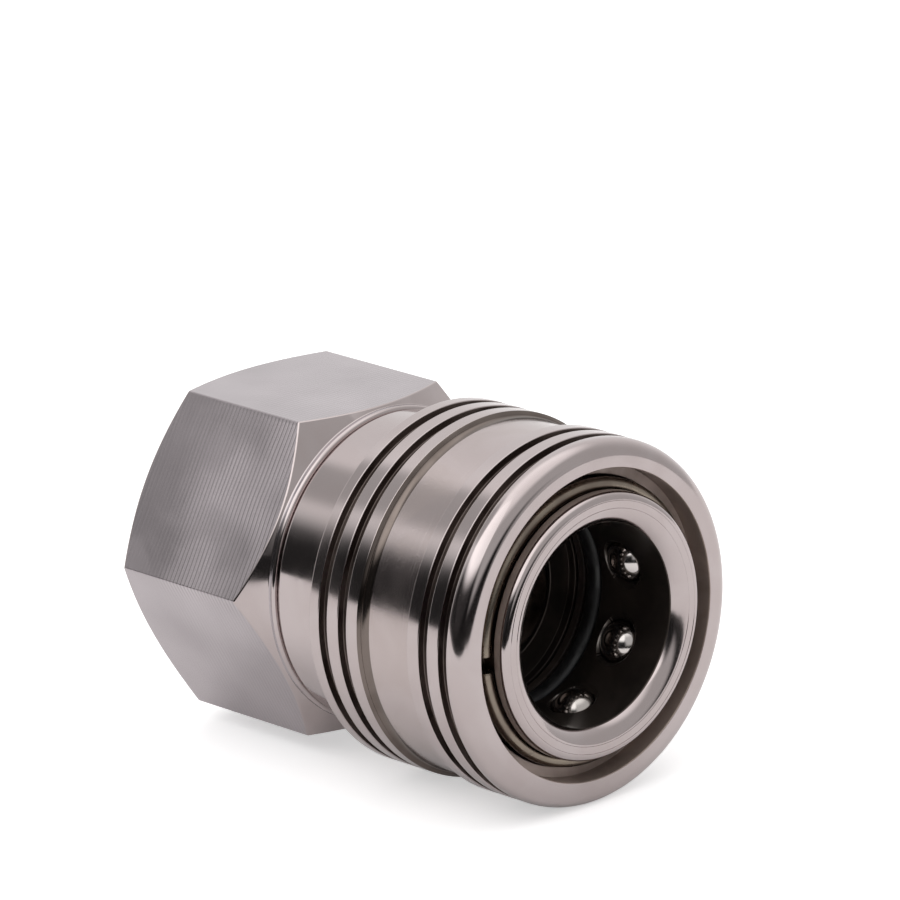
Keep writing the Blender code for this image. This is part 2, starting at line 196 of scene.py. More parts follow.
# Breaks on the edges
fine_break = 0.06 * MM
small_break = 0.10 * MM
edge_break = 0.15 * MM
neck_break = 0.5 * MM
seam_break = 0.4 * MM
ridge_break = 0.13 * MM
hole_break = 0.12 * MM

# Fine lines turned into the nose's front face
score_radii = (12.15 * MM, 12.94 * MM)
score_half = 0.045 * MM
score_depth = 0.03 * MM

# Facets
turned_steps = 192
hole_steps = 96
thread_steps = 96
coil_steps = 72
window_steps = 24
ball_steps = 64
ring_section_steps = 32
spring_section_steps = 20
break_steps = 4
round_steps = 12
curve_steps = 14
smooth_angle = math.radians(24.0)
merge_distance = seat_gap / 1000


# Shader groups


def new_group(name, inputs, outputs):
    """A shader node group with its sockets made, and its input and output nodes."""
    group = bpy.data.node_groups.new(name, "ShaderNodeTree")
    for socket, kind, value in inputs:
        made = group.interface.new_socket(name=socket, in_out="INPUT", socket_type=kind)
        if value is not None:
            made.default_value = value
    for socket, kind in outputs:
        group.interface.new_socket(name=socket, in_out="OUTPUT", socket_type=kind)
    return group, group.nodes.new("NodeGroupInput"), group.nodes.new("NodeGroupOutput")


def math_node(tree, operation, first, second=None, clamp=False):
    """A Math node fed by sockets or numbers, and its result."""
    node = tree.nodes.new("ShaderNodeMath")
    node.operation = operation
    node.use_clamp = clamp
    for socket, value in zip(node.inputs, (first, second)):
        if isinstance(value, bpy.types.NodeSocket):
            tree.links.new(value, socket)
        elif value is not None:
            socket.default_value = value
    return node.outputs[0]


def scaled(tree, vector, factor):
    """A vector times a socket or a number."""
    node = tree.nodes.new("ShaderNodeVectorMath")
    node.operation = "SCALE"
    tree.links.new(vector, node.inputs[0])
    if isinstance(factor, bpy.types.NodeSocket):
        tree.links.new(factor, node.inputs["Scale"])
    else:
        node.inputs["Scale"].default_value = factor
    return node.outputs[0]


def parts_of(tree, vector):
    """A vector's X, Y and Z."""
    node = tree.nodes.new("ShaderNodeSeparateXYZ")
    tree.links.new(vector, node.inputs[0])
    return node.outputs["X"], node.outputs["Y"], node.outputs["Z"]


def towards(tree, direction, aim):
    """How far a direction points the way of a fixed one: 1 where they agree."""
    node = tree.nodes.new("ShaderNodeVectorMath")
    node.operation = "DOT_PRODUCT"
    tree.links.new(direction, node.inputs[0])
    node.inputs[1].default_value = aim
    return node.outputs["Value"]


def noise(tree, vector, scale, detail=2.0, roughness=0.5, distortion=0.0):
    """A Noise Texture's value, between 0 and 1."""
    node = tree.nodes.new("ShaderNodeTexNoise")
    node.inputs["Scale"].default_value = scale
    node.inputs["Detail"].default_value = detail
    node.inputs["Roughness"].default_value = roughness
    node.inputs["Distortion"].default_value = distortion
    tree.links.new(vector, node.inputs["Vector"])
    return node.outputs["Fac"]


def span(tree, value, from_low, from_high, to_low, to_high):
    """A smooth Map Range from one span to another."""
    node = tree.nodes.new("ShaderNodeMapRange")
    node.interpolation_type = "SMOOTHSTEP"
    tree.links.new(value, node.inputs["Value"])
    for socket, number in zip(("From Min", "From Max", "To Min", "To Max"),
                              (from_low, from_high, to_low, to_high)):
        if isinstance(number, bpy.types.NodeSocket):
            tree.links.new(number, node.inputs[socket])
        else:
            node.inputs[socket].default_value = number
    return node.outputs["Result"]


def combine(tree, x, y, z=0.0):
    """A vector of sockets or numbers."""
    node = tree.nodes.new("ShaderNodeCombineXYZ")
    for socket, value in zip(node.inputs, (x, y, z)):
        if isinstance(value, bpy.types.NodeSocket):
            tree.links.new(value, socket)
        else:
            socket.default_value = value
    return node.outputs[0]


def lathe_lines_group():
    """Fine lines that a lathe tool leaves round the axis: a height and a tone."""
    group, given, result = new_group(
        "lathe lines",
        [("Place", "NodeSocketVector", None), ("Lines per mm", "NodeSocketFloat", 4.0)],
        [("Height", "NodeSocketFloat"), ("Tone", "NodeSocketFloat")],
    )
    place = scaled(group, given.outputs["Place"], 1.0 / MM)
    along, across, up = parts_of(group, place)
    squares = math_node(group, "ADD", math_node(group, "MULTIPLY", across, across),
                        math_node(group, "MULTIPLY", up, up))
    distance = math_node(group, "SQRT", squares)
    fine = given.outputs["Lines per mm"]
    lines = combine(group, math_node(group, "MULTIPLY", along, fine),
                    math_node(group, "MULTIPLY", distance, fine))
    wander = noise(group, place, 0.35)
    fine_lines = noise(group, lines, 1.0, detail=3.0, roughness=0.65)
    broad_lines = noise(group, lines, 0.22, detail=1.0)
    mixed = math_node(group, "ADD", math_node(group, "MULTIPLY", fine_lines, 0.7),
                      math_node(group, "MULTIPLY", broad_lines, 0.3))
    height = math_node(group, "MULTIPLY", mixed, span(group, wander, 0.3, 0.7, 0.75, 1.25))
    group.links.new(height, result.inputs["Height"])
    group.links.new(span(group, mixed, 0.35, 0.65, 0.0, 1.0), result.inputs["Tone"])
    return group


def milled_lines_group():
    """Feed lines of a milling cutter, square to the axis. They fade in and out, and are fainter on
    the top flat and below the axis, where the light shows them less; their tone is painted shade in
    the furrows. The places and spans are in millimetres."""
    group, given, result = new_group(
        "milled lines",
        [("Place", "NodeSocketVector", None), ("Pitch mm", "NodeSocketFloat", 0.52),
         ("Fade from", "NodeSocketFloat", -25.0), ("Fade to", "NodeSocketFloat", -15.0)],
        [("Height", "NodeSocketFloat"), ("Tone", "NodeSocketFloat")],
    )
    place = scaled(group, given.outputs["Place"], 1.0 / MM)
    along, _, up = parts_of(group, place)
    sway = math_node(group, "MULTIPLY", noise(group, place, 0.12, detail=1.0), 0.6)
    turns = math_node(group, "DIVIDE", math_node(group, "ADD", along, sway),
                      given.outputs["Pitch mm"])
    wave = math_node(group, "SINE", math_node(group, "MULTIPLY", turns, 2 * math.pi))
    scratches = noise(group, combine(group, math_node(group, "MULTIPLY", along, 6.0), 0.0), 1.0,
                      detail=2.0, roughness=0.6)
    fade = span(group, along, given.outputs["Fade from"], given.outputs["Fade to"], 0.15, 1.0)
    patch = span(group, noise(group, place, 0.16, detail=1.0), 0.35, 0.6, 0.55, 1.0)
    # Fainter on the top flat and below the axis, where the light shows the lines less; the tone
    # built from this is painted shade.
    top_share = span(group, up, 16.2, 16.7, 1.0, 0.2)
    low_share = span(group, up, -2.0, 0.5, 0.25, 1.0)
    light_side_share = math_node(group, "MULTIPLY", top_share, low_share)
    strength = math_node(group, "MULTIPLY", math_node(group, "MULTIPLY", fade, patch), light_side_share)
    wave_height = math_node(group, "MULTIPLY", math_node(group, "MULTIPLY", wave, 0.5), strength)
    height = math_node(group, "ADD", wave_height, math_node(group, "MULTIPLY", scratches, 0.35))
    group.links.new(height, result.inputs["Height"])
    tone = math_node(group, "ADD", wave_height, 0.5)
    drift = math_node(group, "SUBTRACT", noise(group, place, 0.09, detail=2.0), 0.5)
    group.links.new(math_node(group, "ADD", tone, drift, clamp=True), result.inputs["Tone"])
    return group


def handling_marks_group():
    """Handling marks and oil film: a slow tone for the colour and the gloss, and small specks."""
    group, given, result = new_group(
        "handling marks",
        [("Place", "NodeSocketVector", None), ("Size mm", "NodeSocketFloat", 8.0)],
        [("Tone", "NodeSocketFloat"), ("Specks", "NodeSocketFloat")],
    )
    place = scaled(group, given.outputs["Place"], 1.0 / MM)
    sized = scaled(group, place, math_node(group, "DIVIDE", 1.0, given.outputs["Size mm"]))
    slow = noise(group, sized, 1.0, detail=3.0, roughness=0.55, distortion=0.6)
    group.links.new(span(group, slow, 0.32, 0.68, 0.0, 1.0), result.inputs["Tone"])
    specks = noise(group, place, 1.7, detail=2.0, roughness=0.6)
    group.links.new(span(group, specks, 0.62, 0.72, 0.0, 1.0), result.inputs["Specks"])
    return group


# Finishes


class Finish:
    """A material in the making: its tree, its shader and the object's coordinates."""

    def __init__(self, name, colour, roughness, metallic=1.0):
        self.material = bpy.data.materials.new(name)
        self.material.use_nodes = True
        self.tree = self.material.node_tree
        self.shader = self.tree.nodes["Principled BSDF"]
        self.shader.inputs["Base Color"].default_value = (*colour, 1.0)
        self.shader.inputs["Roughness"].default_value = roughness
        self.shader.inputs["Metallic"].default_value = metallic
        self.material.diffuse_color = (*colour, 1.0)
        self.place = self.tree.nodes.new("ShaderNodeTexCoord").outputs["Object"]

    def group(self, group, **values):
        """Place a shader group, with its values by socket name."""
        node = self.tree.nodes.new("ShaderNodeGroup")
        node.node_tree = group
        self.tree.links.new(self.place, node.inputs["Place"])
        for socket, value in values.items():
            node.inputs[socket.replace("_", " ")].default_value = value
        return node

    def colours(self, factor, first, second):
        """Base Color from a mix of two colours."""
        mix = self.tree.nodes.new("ShaderNodeMix")
        mix.data_type = "RGBA"
        self.tree.links.new(factor, mix.inputs["Factor"])
        mix.inputs["A"].default_value = (*first, 1.0)
        mix.inputs["B"].default_value = (*second, 1.0)
        self.tree.links.new(mix.outputs["Result"], self.shader.inputs["Base Color"])

    def gloss(self, factor, first, second):
        """Roughness between two values."""
        self.tree.links.new(span(self.tree, factor, 0.0, 1.0, first, second),
                            self.shader.inputs["Roughness"])

    def bump(self, height, depth):
        """Relief of a depth in metres, on top of any that is there."""
        node = self.tree.nodes.new("ShaderNodeBump")
        node.inputs["Strength"].default_value = 1.0
        node.inputs["Distance"].default_value = depth
        self.tree.links.new(height, node.inputs["Height"])
        if self.shader.inputs["Normal"].is_linked:
            before = self.shader.inputs["Normal"].links[0].from_socket
            self.tree.links.new(before, node.inputs["Normal"])
        self.tree.links.new(node.outputs["Normal"], self.shader.inputs["Normal"])


lathe_lines = lathe_lines_group()
milled_lines = milled_lines_group()
handling_marks = handling_marks_group()


def turned_finish(name, colour, shade, gloss_low, gloss_high, depth, lines_per_mm=4.0,
                  metallic=1.0):
    """Turned metal: fine lathe lines, slow changes of colour and gloss, and fine specks."""
    finish = Finish(name, colour, gloss_low, metallic)
    lines = finish.group(lathe_lines, Lines_per_mm=lines_per_mm)
    marks = finish.group(handling_marks, Size_mm=7.0)
    finish.colours(marks.outputs["Tone"], colour, shade)
    finish.gloss(marks.outputs["Tone"], gloss_low, gloss_high)
    finish.bump(lines.outputs["Height"], depth)
    finish.bump(marks.outputs["Specks"], 0.25 * depth)
    return finish.material


def milled_finish():
    """The hexagon's flats: straight feed lines, square to the axis."""
    finish = Finish("milled flats", (0.46, 0.42, 0.43), 0.18)
    lines = finish.group(milled_lines, Pitch_mm=0.52, Fade_from=-22.0, Fade_to=-14.0)
    marks = finish.group(handling_marks, Size_mm=9.0)
    # The darker end is painted shade in the feed lines' furrows.
    finish.colours(lines.outputs["Tone"], (0.325, 0.292, 0.300), (0.515, 0.465, 0.482))
    finish.gloss(marks.outputs["Tone"], 0.16, 0.23)
    finish.bump(lines.outputs["Height"], 0.017 * MM)
    return finish.material


def rubber_finish(name, colour):
    """Moulded rubber or plastic: dull and slightly speckled."""
    finish = Finish(name, colour, 0.45, metallic=0.0)
    marks = finish.group(handling_marks, Size_mm=2.0)
    finish.colours(marks.outputs["Tone"], colour, tuple(1.6 * c for c in colour))
    finish.gloss(marks.outputs["Tone"], 0.35, 0.55)
    finish.bump(marks.outputs["Specks"], 0.01 * MM)
    return finish.material


polished = turned_finish("polished turned steel", (0.50, 0.440, 0.435), (0.475, 0.412, 0.405),
                         0.09, 0.14, 0.0018 * MM)
satin = turned_finish("satin turned steel", (0.49, 0.425, 0.418), (0.46, 0.395, 0.382),
                      0.14, 0.20, 0.010 * MM, lines_per_mm=4.5)
# Dark brown steel: painted shade, on the sleeve's step behind the waist and on the poppet's front
# deep in the bore.
brown_painted_shade = turned_finish("browned turned steel", (0.14, 0.114, 0.101), (0.19, 0.157, 0.141),
                        0.12, 0.18, 0.003 * MM)
# Dark steel: painted shade in the sleeve's grooves and the body's ring groove.
groove_painted_shade = turned_finish("groove steel in painted shade", (0.13, 0.105, 0.095), (0.20, 0.165, 0.15),
                            0.30, 0.42, 0.003 * MM)
# Brown, half-dull steel: painted shade on the channel walls between nose and sleeve, and inside the
# sleeve.
channel_painted_shade = turned_finish("browned channel steel", (0.42, 0.335, 0.300), (0.30, 0.236, 0.208),
                              0.34, 0.46, 0.003 * MM, metallic=0.45)
inner_steel = turned_finish("inner turned steel", (0.34, 0.31, 0.29), (0.28, 0.25, 0.23),
                            0.28, 0.38, 0.004 * MM)
# Near-black steel: painted shade in the bore.
bore_painted_shade = turned_finish("bore steel in painted shade", (0.055, 0.046, 0.041), (0.085, 0.068, 0.059),
                           0.28, 0.40, 0.002 * MM, metallic=0.78)
ball_steel = turned_finish("ground ball steel", (0.62, 0.58, 0.56), (0.58, 0.54, 0.51),
                           0.13, 0.18, 0.0003 * MM)
# Dim brown wire: painted shade of the channel it sits in.
wire_painted_shade = turned_finish("wire steel in painted shade", (0.30, 0.255, 0.205), (0.22, 0.180, 0.150),
                           0.24, 0.34, 0.003 * MM)
spring_wire = turned_finish("spring wire steel", (0.45, 0.42, 0.40), (0.38, 0.35, 0.33),
                            0.28, 0.38, 0.002 * MM)
milled = milled_finish()
black_rubber = rubber_finish("black seal rubber", (0.010, 0.010, 0.011))
# Near-black brown: painted shade on the washer deep in the bore.
backup_painted_shade = rubber_finish("back-up plastic in painted shade", (0.040, 0.031, 0.026))


# Modelling


def round_corners(shape, corners):
    """Link outline corners, given as depth, radius and edge break, and round each by its break.
    An outline that starts on the axis stays open along it."""
    points = [shape.verts.new((mouth_x - depth, 0.0, radius)) for depth, radius, _ in corners]
    for pair in zip(points, points[1:] + points[:1]):
        if corners[0][1] > 0.0 or pair[0] is not points[-1]:
            shape.edges.new(pair)
    for size in sorted({corner[2] for corner in corners}):
        chosen = [point for point, corner in zip(points, corners) if corner[2] == size]
        if size > 0.0:
            steps = round_steps if size > edge_break else break_steps
            bmesh.ops.bevel(shape, geom=chosen, offset=size, offset_type="OFFSET",
                            segments=steps, profile=0.5, affect="VERTICES", material=-1)


def turn(shape, steps=turned_steps):
    """Turn all that a bmesh holds about the axis, and close it."""
    bmesh.ops.spin(shape, geom=shape.verts[:] + shape.edges[:], cent=(0.0, 0.0, 0.0),
                   axis=(1.0, 0.0, 0.0), angle=2 * math.pi, steps=steps, use_merge=True)
    bmesh.ops.remove_doubles(shape, verts=shape.verts, dist=merge_distance)
    bmesh.ops.recalc_face_normals(shape, faces=shape.faces)


def as_object(name, shape, *finishes):
    """Make a bmesh a smooth object with its finishes, at the origin."""
    mesh = bpy.data.meshes.new(name)
    shape.to_mesh(mesh)
    shape.free()
    for finish in finishes:
        mesh.materials.append(finish)
    mesh.shade_smooth()
    mesh.set_sharp_from_angle(angle=smooth_angle)
    item = bpy.data.objects.new(name, mesh)
    bpy.context.scene.collection.objects.link(item)
    return item


def keep_flats_flat(item):
    """Shade wide faces flat up to the breaks on their edges."""
    weighted = item.modifiers.new("flats", "WEIGHTED_NORMAL")
    weighted.mode = "FACE_AREA"
    weighted.weight = 50
    weighted.keep_sharp = True


def cut(item, shape):
    """Cut a closed bmesh out of an object, for good."""
    mesh = bpy.data.meshes.new("tool")
    shape.to_mesh(mesh)
    shape.free()
    tool = bpy.data.objects.new("tool", mesh)
    bpy.context.scene.collection.objects.link(tool)
    modifier = item.modifiers.new("cut", "BOOLEAN")
    modifier.operation = "DIFFERENCE"
    modifier.solver = "EXACT"
    modifier.object = tool
    graph = bpy.context.evaluated_depsgraph_get()
    made = bpy.data.meshes.new_from_object(item.evaluated_get(graph))
    made.name = item.data.name
    item.modifiers.clear()
    item.data = made
    made.shade_smooth()
    made.set_sharp_from_angle(angle=smooth_angle)
    bpy.data.objects.remove(tool, do_unlink=True)


def dress(item, body, slot, *nodes):
    """Let a finished piece ride on its body in place of its CAD nodes."""
    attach(item, body)
    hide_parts(*nodes)


def paint(item, index, test):
    """Give a finish to the faces whose depth, radius and normal pass a test."""
    for face in item.data.polygons:
        place = face.center
        if test(mouth_x - place.x, math.hypot(place.y, place.z), face.normal):
            face.material_index = index


def turned_piece(name, corners, *finishes):
    """An object turned about the axis from its outline's corners."""
    shape = bmesh.new()
    round_corners(shape, corners)
    turn(shape)
    return as_object(name, shape, *finishes)


def seal_ring(name, node, finish, body, slot):
    """A seal ring of round section in place of its CAD node."""
    section = (high(node).x - low(node).x) / 2
    shape = bmesh.new()
    bmesh.ops.create_circle(shape, radius=section, segments=ring_section_steps)
    stand = Matrix.Rotation(math.pi / 2, 4, "X")
    shift = Matrix.Translation((middle(node).x, 0.0, high(node).z - section))
    bmesh.ops.transform(shape, matrix=shift @ stand, verts=shape.verts)
    turn(shape)
    dress(as_object(name, shape, finish), body, slot, node)


def lead_in():
    """The bulged way into the bore, an arc from the bore to the nose's front face."""
    bulge = mouth_depth / (math.cos(lead_start) - math.cos(lead_end))
    corners = []
    for step in range(curve_steps + 1):
        angle = lead_end + (lead_start - lead_end) * step / curve_steps
        depth = bulge * (math.cos(lead_start) - math.cos(angle))
        radius = bore_radius + bulge * (math.sin(lead_end) - math.sin(angle))
        corners.append((depth, radius, 0.0))
    return corners


def make_body():
    """The socket body: nose, ring groove, ball cage, neck and tail, and the stepped bore."""
    corners = [
        (0.0, nose_radius, nose_round),
        (ring_depth - ring_wire / 2 - seat_gap, nose_radius, small_break),
        (ring_depth - ring_wire / 2 - seat_gap, ring_groove_radius, fine_break),
        (ring_depth + ring_wire / 2 + seat_gap, ring_groove_radius, fine_break),
        (ring_depth + ring_wire / 2 + seat_gap, cage_radius, edge_break),
        (spring_seat, cage_radius, small_break),
        (spring_seat, neck_radius, edge_break),
        (neck_rear, neck_radius, neck_break),
        (neck_rear, tail_radius, small_break),
        (tail_rear, tail_radius, edge_break),
        (tail_rear, chamber_radius, small_break),
        (chamber_front, chamber_radius, edge_break),
        (throat_rear, throat_radius, small_break),
        (throat_front, throat_radius, edge_break),
        (throat_front, bore_radius, fine_break),
        (plug_groove_rear, bore_radius, small_break),
        (plug_groove_rear, plug_groove_radius, fine_break),
        (plug_groove_front, plug_groove_radius, fine_break),
        (plug_groove_front, bore_radius, small_break),
    ]
    scores = []
    for radius in score_radii:
        scores += [(0.0, radius - score_half, 0.0), (score_depth, radius, 0.0),
                   (0.0, radius + score_half, 0.0)]
    item = turned_piece("turned_body", corners + lead_in() + scores, polished, bore_painted_shade,
                        inner_steel, channel_painted_shade, groove_painted_shade)
    cut(item, ball_hole_tool())
    skin = cage_radius - fine_break
    groove_floor = ring_groove_radius - fine_break
    groove_half = ring_wire / 2 + seat_gap + fine_break
    # The bore: painted shade. The chamber and the ball holes' broken lips keep the lighter inner
    # steel.
    paint(item, 1, lambda depth, radius, normal: depth > mouth_depth - fine_break and radius < skin)
    paint(item, 2, lambda depth, radius, normal: depth > throat_rear and radius < skin)
    # The nose's outer wall and the cage inside the sleeve: painted shade.
    paint(item, 3, lambda depth, radius, normal: nose_round < depth < spring_seat
          and radius > groove_floor)
    # The ring groove: painted shade.
    paint(item, 4, lambda depth, radius, normal: abs(depth - ring_depth) < groove_half
          and groove_floor < radius < nose_radius - small_break)
    paint(item, 2, lambda depth, radius, normal: abs(depth - ball_depth) < ball_radius + edge_break
          and bore_radius + fine_break / 4 < radius < bore_radius + hole_break)
    keep_flats_flat(item)
    dress(item, "body", "turned_steel", "socket_body")


def ball_turn(index):
    """The turn about the axis that takes +Z to a ball."""
    centre = middle(f"ball_{index}")
    return Matrix.Rotation(-math.atan2(centre.y, centre.z), 4, "X")


def ball_hole_tool():
    """Eight radial holes, each with a lip that keeps its ball out of the bore and a broken edge."""
    protrusion = bore_radius - (ball_centre_radius - ball_radius)
    lip_radius = math.sqrt(ball_radius ** 2 - (ball_radius - protrusion) ** 2) + seat_gap
    hole_radius = ball_radius + seat_gap
    lip_height = 0.8 * MM
    lip_straight = 0.7 * lip_height
    flare = 5 * hole_break
    flare_depth = 4 * hole_break
    outline = [
        (0.0, bore_radius - overrun),
        (lip_radius + flare, bore_radius - overrun),
        (lip_radius + flare, bore_radius - flare_depth),
        (lip_radius, bore_radius + hole_break),
        (lip_radius, bore_radius + lip_straight),
        (hole_radius, bore_radius + lip_height),
        (hole_radius, cage_radius + overrun),
        (0.0, cage_radius + overrun),
    ]
    tool = bmesh.new()
    for index in range(1, 9):
        shape = bmesh.new()
        points = [shape.verts.new((radius, 0.0, height)) for radius, height in outline]
        for pair in zip(points, points[1:]):
            shape.edges.new(pair)
        bmesh.ops.spin(shape, geom=shape.verts[:] + shape.edges[:], cent=(0.0, 0.0, 0.0),
                       axis=(0.0, 0.0, 1.0), angle=2 * math.pi, steps=hole_steps, use_merge=True)
        bmesh.ops.remove_doubles(shape, verts=shape.verts, dist=merge_distance)
        bmesh.ops.recalc_face_normals(shape, faces=shape.faces)
        shift = Matrix.Translation((mouth_x - ball_depth, 0.0, 0.0))
        bmesh.ops.transform(shape, matrix=shift @ ball_turn(index), verts=shape.verts)
        mesh = bpy.data.meshes.new("hole")
        shape.to_mesh(mesh)
        shape.free()
        tool.from_mesh(mesh)
        bpy.data.meshes.remove(mesh)
    return tool


def make_sleeve():
    """The release sleeve: round front edge, two pairs of grip grooves and a waist."""
    corners = [
        (sleeve_front, counterbore_radius, edge_break),
        (sleeve_front, sleeve_radius, front_round),
    ]
    for front in (groove_1, groove_2):
        corners += groove_corners(front)
    corners += [
        (waist_front, sleeve_radius, fine_break),
        (waist_front, sleeve_radius - waist_drop, fine_break),
    ]
    wall_foot = taper_rear - wall_run
    for step in range(curve_steps):
        angle = math.pi / 2 * step / curve_steps
        corners.append((wall_foot - fillet_run * (1.0 - math.sin(angle)), sleeve_radius - waist_drop
                        + (waist_drop - wall_drop) * (1.0 - math.cos(angle)), 0.0))
    corners += [
        (wall_foot, sleeve_radius - wall_drop, fine_break),
        (taper_rear, sleeve_radius, fine_break),
    ]
    for front in (groove_3, groove_4):
        corners += groove_corners(front)
    corners += [
        (sleeve_rear, sleeve_radius, edge_break),
        (sleeve_rear, neck_radius + slide_gap, edge_break),
        (land_rear, neck_radius + slide_gap, fine_break),
        (land_rear, land_radius, small_break),
        (land_front, land_radius, small_break),
        (ring_depth + ring_wire / 2, ramp_radius, small_break),
        (ring_depth + ring_wire / 2, counterbore_radius, fine_break),
    ]
    item = turned_piece("release_sleeve", corners, polished, satin, brown_painted_shade, groove_painted_shade,
                        channel_painted_shade)
    groove_top = sleeve_radius - small_break
    paint(item, 1, lambda depth, radius, normal: waist_front < depth < wall_foot - fillet_run)
    # The step behind the waist: painted shade.
    paint(item, 2, lambda depth, radius, normal: wall_foot - fillet_run < depth < taper_rear)
    # The grooves: painted shade.
    paint(item, 3, lambda depth, radius, normal: radius < groove_top and any(
        front - fine_break < depth < front + groove_width + fine_break for front in sleeve_grooves))
    # The sleeve's inner walls: painted shade.
    paint(item, 4, lambda depth, radius, normal: radius < counterbore_radius + small_break
          or (depth > land_rear and radius < neck_radius + slide_gap + small_break))
    keep_flats_flat(item)
    dress(item, "sleeve", "sleeve_steel", "sleeve")


def groove_corners(front):
    """A square groove in the sleeve's outside."""
    return [
        (front, sleeve_radius, small_break),
        (front, sleeve_radius - groove_depth, small_break),
        (front + groove_width, sleeve_radius - groove_depth, small_break),
        (front + groove_width, sleeve_radius, small_break),
    ]


def make_adapter():
    """The hexagonal adapter: a turned blank cut to six flats, with a threaded port behind."""
    blank_radius = hex_corner_radius + overrun
    cone_rise = (blank_radius - cone_front_radius) / math.tan(cone_angle)
    chamfer_rise = (blank_radius - rear_face_radius) * math.tan(rear_chamfer_angle)
    root_radius = port_radius + thread_height
    seam = neck_rear + seam_gap
    cone_front = seam + 2 * seam_break
    corners = [
        (seam, cone_front_radius, seam_break),
        (cone_front, cone_front_radius, fine_break),
        (cone_front + cone_rise, blank_radius, 0.0),
        (hex_rear - chamfer_rise, blank_radius, 0.0),
        (hex_rear, rear_face_radius, small_break),
        (hex_rear, port_radius + port_chamfer, small_break),
        (hex_rear - port_chamfer, port_radius, fine_break),
        (port_floor + thread_relief, port_radius, fine_break),
        (port_floor + thread_relief - thread_height, root_radius, fine_break),
        (port_floor, root_radius, fine_break),
        (port_floor, web_hole_radius, small_break),
        (web_front, web_hole_radius, small_break),
        (web_front, tail_bore_radius, fine_break),
        (seal_recess_rear, tail_bore_radius, fine_break),
        (seal_recess_rear, seal_recess_radius, fine_break),
        (seam, seal_recess_radius, fine_break),
    ]
    shape = bmesh.new()
    round_corners(shape, corners)
    turn(shape)
    for side in range(6):
        normal = Matrix.Rotation(math.pi / 3 * side, 3, "X") @ Vector((0.0, 0.0, 1.0))
        done = bmesh.ops.bisect_plane(shape, geom=shape.verts[:] + shape.edges[:] + shape.faces[:],
                                      dist=merge_distance, plane_co=normal * hex_flat_radius,
                                      plane_no=normal, clear_outer=True)
        rim = [part for part in done["geom_cut"] if isinstance(part, bmesh.types.BMEdge)]
        bmesh.ops.contextual_create(shape, geom=rim)
    bmesh.ops.recalc_face_normals(shape, faces=shape.faces)
    shape.faces.ensure_lookup_table()
    flat_tilt, flat_area = 1e-4, 1e-4
    flats = [face for face in shape.faces
             if abs(face.normal.x) < flat_tilt and face.calc_area() > flat_area]
    ridges = {edge for face in flats for edge in face.edges}
    bmesh.ops.bevel(shape, geom=list(ridges), offset=ridge_break, offset_type="OFFSET", segments=3,
                    profile=0.5, affect="EDGES", material=-1, clamp_overlap=True)
    item = as_object("hexagon_adapter", shape, milled, polished, inner_steel)
    cut(item, thread_tool(root_radius))
    turned_tilt = 0.1
    paint(item, 1, lambda depth, radius, normal: abs(normal.x) > turned_tilt)
    paint(item, 2, lambda depth, radius, normal: radius < port_radius + port_chamfer - small_break)
    keep_flats_flat(item)
    dress(item, "body", "milled_steel", "hex_adapter")


def thread_tool(root_radius):
    """The helical groove of the port's thread, from behind the rear face into the relief."""
    crest = port_radius - slide_gap
    half = thread_pitch * thread_crest_share
    root = thread_pitch * thread_root_share
    shape = bmesh.new()
    start = mouth_x - hex_rear - thread_pitch
    points = [shape.verts.new(place) for place in (
        (start - half, 0.0, crest), (start - root, 0.0, root_radius),
        (start + root, 0.0, root_radius), (start + half, 0.0, crest))]
    for pair in zip(points, points[1:] + points[:1]):
        shape.edges.new(pair)
    length = hex_rear - port_floor - thread_relief / 2 + thread_pitch
    steps = round(thread_steps * length / thread_pitch)
    bmesh.ops.spin(shape, geom=shape.verts[:] + shape.edges[:], cent=(0.0, 0.0, 0.0),
                   axis=(1.0, 0.0, 0.0), angle=2 * math.pi * steps / thread_steps, steps=steps,
                   dvec=(thread_pitch / thread_steps, 0.0, 0.0), use_merge=False)
    bmesh.ops.holes_fill(shape, edges=[edge for edge in shape.edges if edge.is_boundary], sides=0)
    bmesh.ops.recalc_face_normals(shape, faces=shape.faces)
    return shape


def make_balls():
    """The eight locking balls, each on its own body."""
    for index in range(1, 9):
        node = f"ball_{index}"
        shape = bmesh.new()
        bmesh.ops.create_uvsphere(shape, u_segments=ball_steps, v_segments=ball_steps // 2,
                                  radius=ball_radius)
        bmesh.ops.translate(shape, verts=shape.verts, vec=middle(node))
        item = as_object(f"locking_ball_{index}", shape, ball_steel)
        dress(item, node, "ball_steel", node)


def make_ring():
    """The C-shaped ring of round wire between nose and sleeve."""
    half = ring_opening / 2 / ring_centre_radius
    shape = bmesh.new()
    bmesh.ops.create_circle(shape, radius=ring_wire / 2, segments=ring_section_steps)
    stand = Matrix.Rotation(math.pi / 2, 4, "X")
    shift = Matrix.Translation((mouth_x - ring_depth, 0.0, ring_centre_radius))
    start = Matrix.Rotation(-(ring_opening_angle - half), 4, "X")
    bmesh.ops.transform(shape, matrix=start @ shift @ stand, verts=shape.verts)
    bmesh.ops.spin(shape, geom=shape.verts[:] + shape.edges[:], cent=(0.0, 0.0, 0.0),
                   axis=(1.0, 0.0, 0.0), angle=2 * math.pi - 2 * half, steps=turned_steps,
                   use_merge=False)
    ends = bmesh.ops.holes_fill(shape, edges=[edge for edge in shape.edges if edge.is_boundary],
                                sides=0)["faces"]
    rims = {edge for face in ends for edge in face.edges}
    bmesh.ops.bevel(shape, geom=list(rims), offset=edge_break, offset_type="OFFSET", segments=4,
                    profile=0.5, affect="EDGES", material=-1)
    bmesh.ops.recalc_face_normals(shape, faces=shape.faces)
    # The wire's dim brown is painted shade.
    item = as_object("wire_ring", shape, wire_painted_shade)
    keep_flats_flat(item)
    dress(item, "body", "spring_steel", "retaining_ring")


